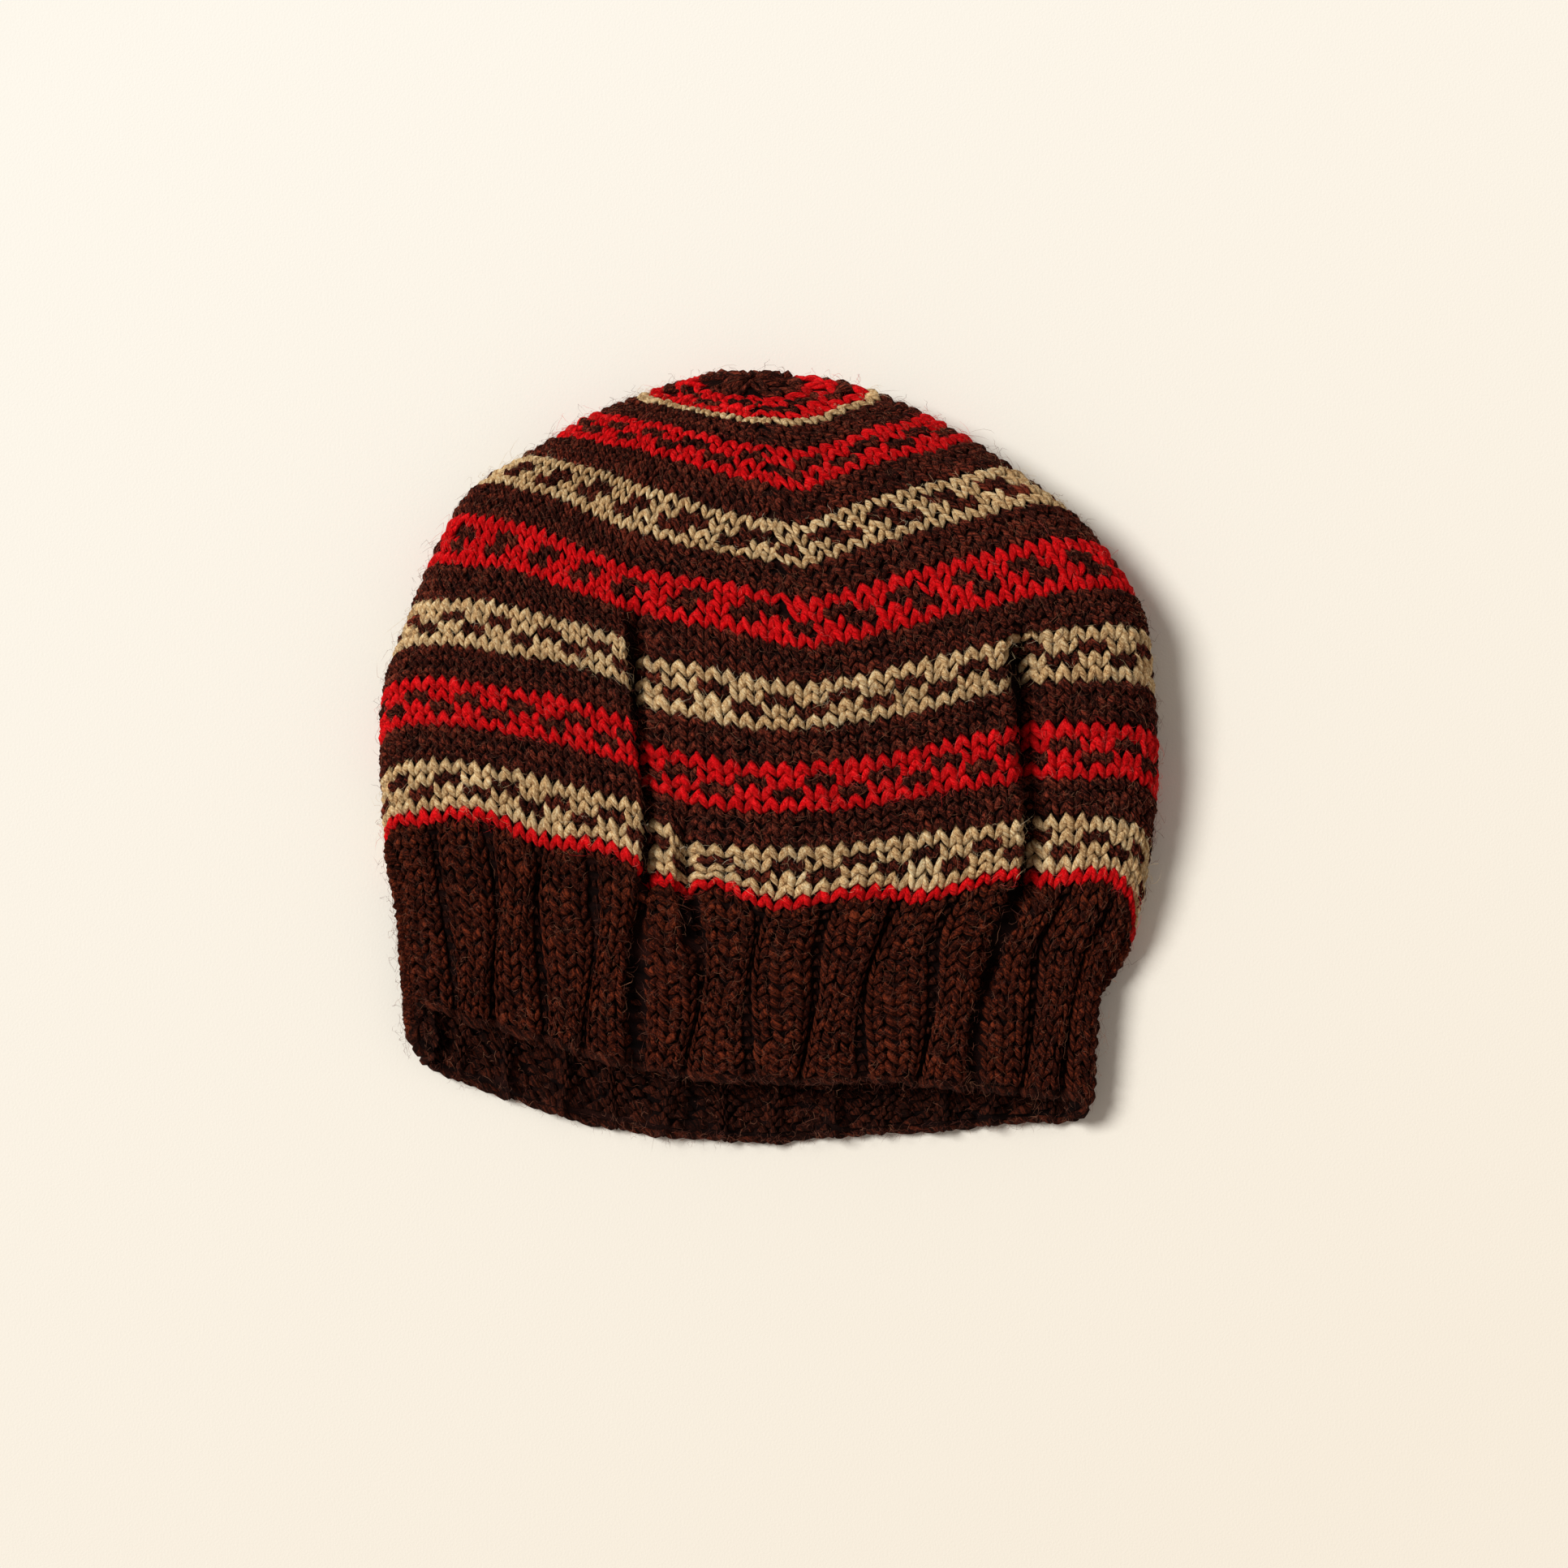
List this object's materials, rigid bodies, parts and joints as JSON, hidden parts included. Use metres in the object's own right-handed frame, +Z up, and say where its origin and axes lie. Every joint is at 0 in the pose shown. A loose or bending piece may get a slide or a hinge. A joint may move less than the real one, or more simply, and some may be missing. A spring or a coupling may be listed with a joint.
{
  "type": "knitted wool cap",
  "caption": "Soft knitted cap lying flat: puffed striped crown closed at a round tip, ribbed band open at the rim, long soft folds in the front layer.",
  "frame": {"origin": "middle of the cap's bounding box, on the surface that the cap lies on", "axes": "+X to the right of the front layer, +Y from the rim to the tip, +Z up from the back layer to the front layer"},
  "size_m": [0.228, 0.227, 0.0509],
  "materials": {
    "striped_wool": "smooth knitted wool, brown with red and beige stripes, matt with fine loose hairs",
    "brown_rib": "ribbed knitted wool, dark brown, matt with fine loose hairs"
  },
  "bodies": {
    "root": {"crown": "striped_wool", "rib_band": "brown_rib"}
  },
  "joints": []
}
